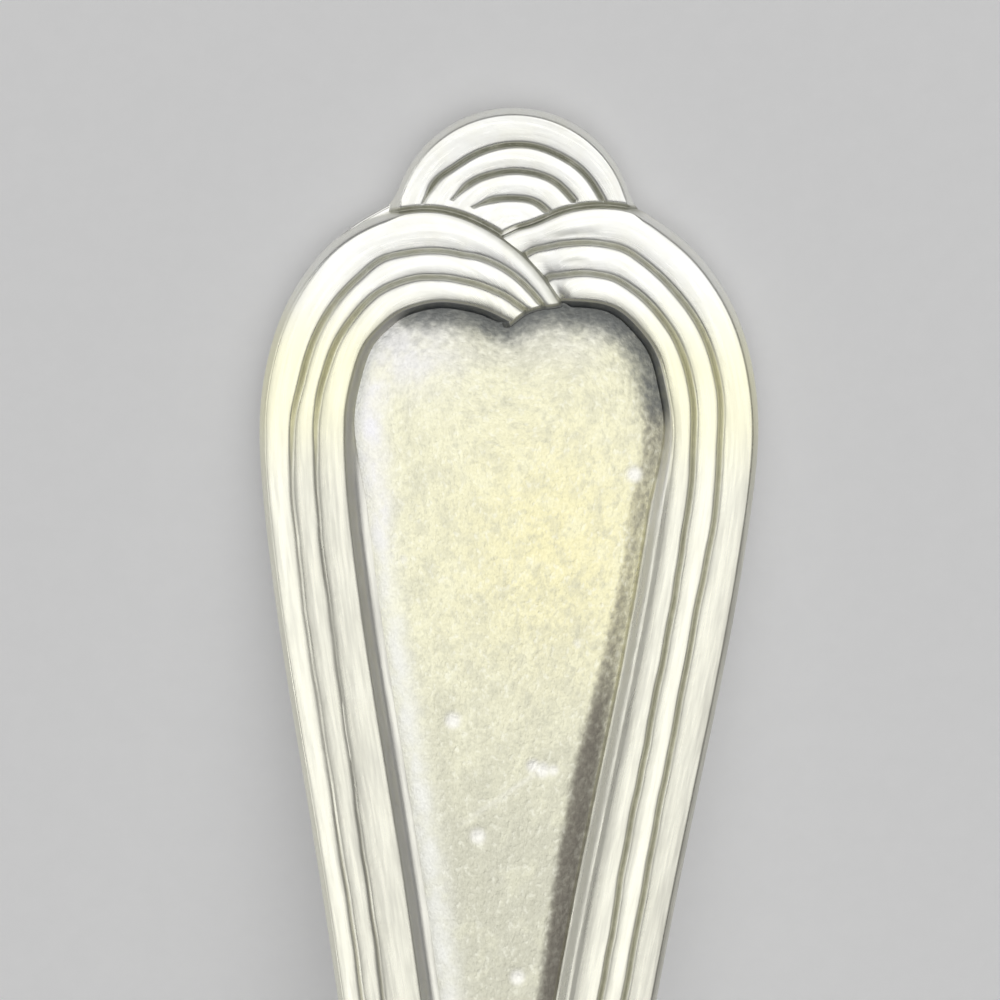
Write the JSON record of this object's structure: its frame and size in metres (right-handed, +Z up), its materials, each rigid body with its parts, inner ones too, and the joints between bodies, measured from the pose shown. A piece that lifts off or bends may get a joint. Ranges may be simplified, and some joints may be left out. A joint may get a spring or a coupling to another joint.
{
  "type": "teaspoon",
  "caption": "Silver-coloured teaspoon with an egg-shaped bowl, arched stem and wide handle end: a matted, heart-topped panel in a reeded border whose ends cross below a domed crest.",
  "frame": {"origin": "bottom centre of the bounding box, on the plane the spoon rests on", "axes": "+Y along the length from the bowl toward the handle's end, +Z up out of the bowl, +X to the right when looking down on the face with the handle's end away from the viewer"},
  "size_m": [0.0312, 0.148, 0.0161],
  "materials": {
    "polished_silver": "gloss",
    "reeded_silver": "satin",
    "matted_warm_silver": "matte",
    "hard_solder": "satin"
  },
  "bodies": {
    "root": {"bowl": "polished_silver", "handle_blank": "polished_silver", "scarf_solder": "hard_solder", "panel_inlay": "matted_warm_silver", "left_reeded_border": "reeded_silver", "right_reeded_border": "reeded_silver", "crest": "reeded_silver"}
  },
  "joints": []
}
